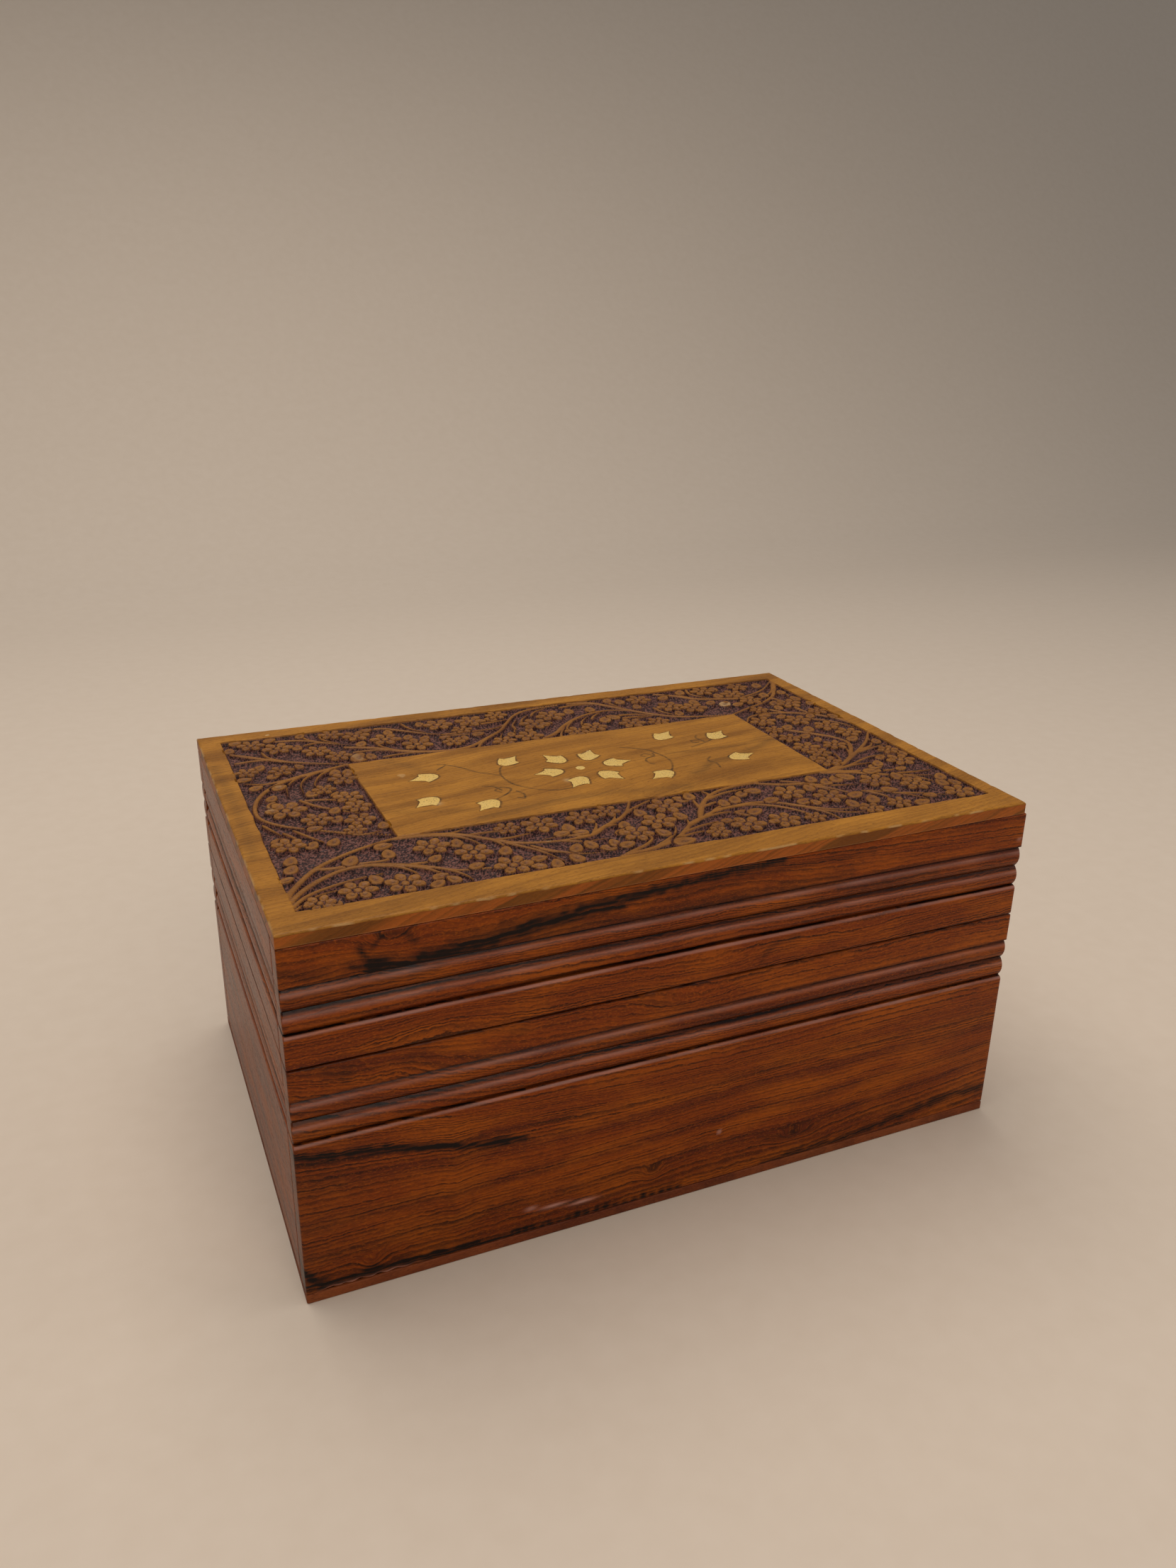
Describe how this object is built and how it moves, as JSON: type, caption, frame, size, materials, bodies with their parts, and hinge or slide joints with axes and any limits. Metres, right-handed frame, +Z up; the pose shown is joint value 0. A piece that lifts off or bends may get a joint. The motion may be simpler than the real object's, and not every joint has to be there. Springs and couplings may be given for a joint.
{
  "type": "jewelry box",
  "caption": "Rectangular hardwood jewelry box with routed beads round the walls, a carved and brass-inlaid lid hinged at the back, and a lift-out velvet tray.",
  "frame": {"origin": "on the surface the box stands on, under the middle of its overall size, hinge knuckles included", "axes": "+X to the right along the length, -Y towards the opening front, +Y to the hinges, +Z up"},
  "size_m": [0.305, 0.2028, 0.151],
  "materials": {
    "wall_wood": "red-brown rosewood, oiled and polished",
    "top_wood": "golden-brown rosewood, carved and waxed",
    "bottom_wood": "plain sanded wood",
    "tray_wood": "satin rosewood",
    "inlay_brass": "filed flush, pitted",
    "hinge_brass": "aged, satin",
    "velvet": "short-pile velvet"
  },
  "bodies": {
    "base": {"bottom_board": "bottom_wood", "base_front_wall": "wall_wood", "base_back_wall": "wall_wood", "base_left_wall": "wall_wood", "base_right_wall": "wall_wood", "base_floor_lining": "velvet", "base_front_lining": "velvet", "base_back_lining": "velvet", "base_left_lining": "velvet", "base_right_lining": "velvet", "tray_ledge_left": "bottom_wood", "tray_ledge_right": "bottom_wood", "hinge_left_base_leaf": "hinge_brass", "hinge_left_base_screw_a": "hinge_brass", "hinge_left_base_screw_b": "hinge_brass", "hinge_right_base_leaf": "hinge_brass", "hinge_right_base_screw_a": "hinge_brass", "hinge_right_base_screw_b": "hinge_brass", "hinge_left_pin": "hinge_brass", "hinge_right_pin": "hinge_brass"},
    "lid": {"lid_top_board": "top_wood", "lid_front_wall": "wall_wood", "lid_back_wall": "wall_wood", "lid_left_wall": "wall_wood", "lid_right_wall": "wall_wood", "lid_lining": "velvet", "hinge_left_lid_leaf": "hinge_brass", "hinge_left_lid_screw_a": "hinge_brass", "hinge_left_lid_screw_b": "hinge_brass", "hinge_right_lid_leaf": "hinge_brass", "hinge_right_lid_screw_a": "hinge_brass", "hinge_right_lid_screw_b": "hinge_brass", "inlay_petal_east": "inlay_brass", "inlay_petal_northeast": "inlay_brass", "inlay_petal_northwest": "inlay_brass", "inlay_petal_west": "inlay_brass", "inlay_petal_southwest": "inlay_brass", "inlay_petal_southeast": "inlay_brass", "inlay_leaf_a": "inlay_brass", "inlay_leaf_b": "inlay_brass", "inlay_leaf_c": "inlay_brass", "inlay_leaf_d": "inlay_brass", "inlay_leaf_e": "inlay_brass", "inlay_leaf_f": "inlay_brass", "inlay_leaf_g": "inlay_brass", "inlay_leaf_h": "inlay_brass", "inlay_centre_dot": "inlay_brass"},
    "tray": {"tray_floor": "bottom_wood", "tray_front_wall": "tray_wood", "tray_back_wall": "tray_wood", "tray_left_wall": "tray_wood", "tray_right_wall": "tray_wood", "tray_long_divider": "tray_wood", "tray_short_divider_left": "tray_wood", "tray_short_divider_right": "tray_wood", "tray_pad_left": "velvet", "tray_pad_middle": "velvet", "tray_pad_right": "velvet", "tray_ring_roll": "velvet"}
  },
  "joints": [
    {"name": "lid_hinge", "type": "hinge", "parent": "base", "child": "lid", "pos_m": [0, 0.0994, 0.0995], "axis": [-1, 0, 0], "range_deg": [0, 105]},
    {"name": "tray_lift", "type": "slide", "parent": "base", "child": "tray", "axis": [0, 0, 1], "range_m": [0, 0.032]}
  ]
}
